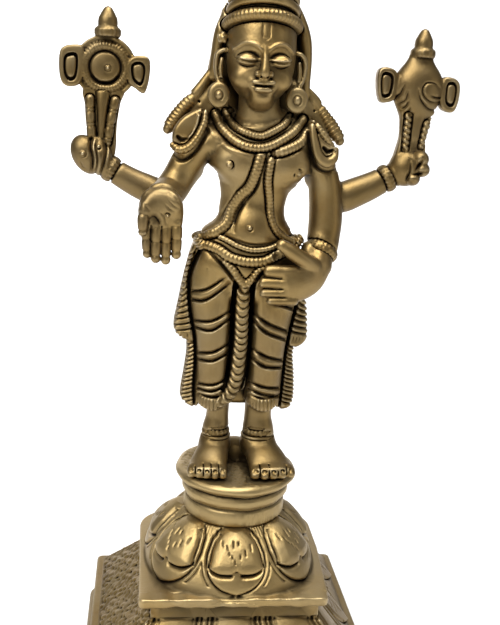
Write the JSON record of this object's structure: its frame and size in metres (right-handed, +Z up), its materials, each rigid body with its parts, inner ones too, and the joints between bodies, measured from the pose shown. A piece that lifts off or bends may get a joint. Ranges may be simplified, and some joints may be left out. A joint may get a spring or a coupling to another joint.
{
  "type": "vishnu figure",
  "caption": "Cast brass figure of a crowned, four-armed standing deity with disc and conch, on a round stand above a square stepped plinth with a lotus bell.",
  "frame": {"origin": "middle of the plinth's flat underside", "axes": "+Z up to the tip of the crown, -Y out of the figure's front, +X towards the figure's own left"},
  "size_m": [0.1437, 0.116, 0.304],
  "materials": {
    "figure_brass": "aged brass, hand-polished on the high parts, dark in the recesses",
    "plinth_brass": "aged brass, duller and dusty grey-brown on the sides"
  },
  "bodies": {
    "root": {"figure": "figure_brass", "plinth": "plinth_brass"}
  },
  "joints": []
}
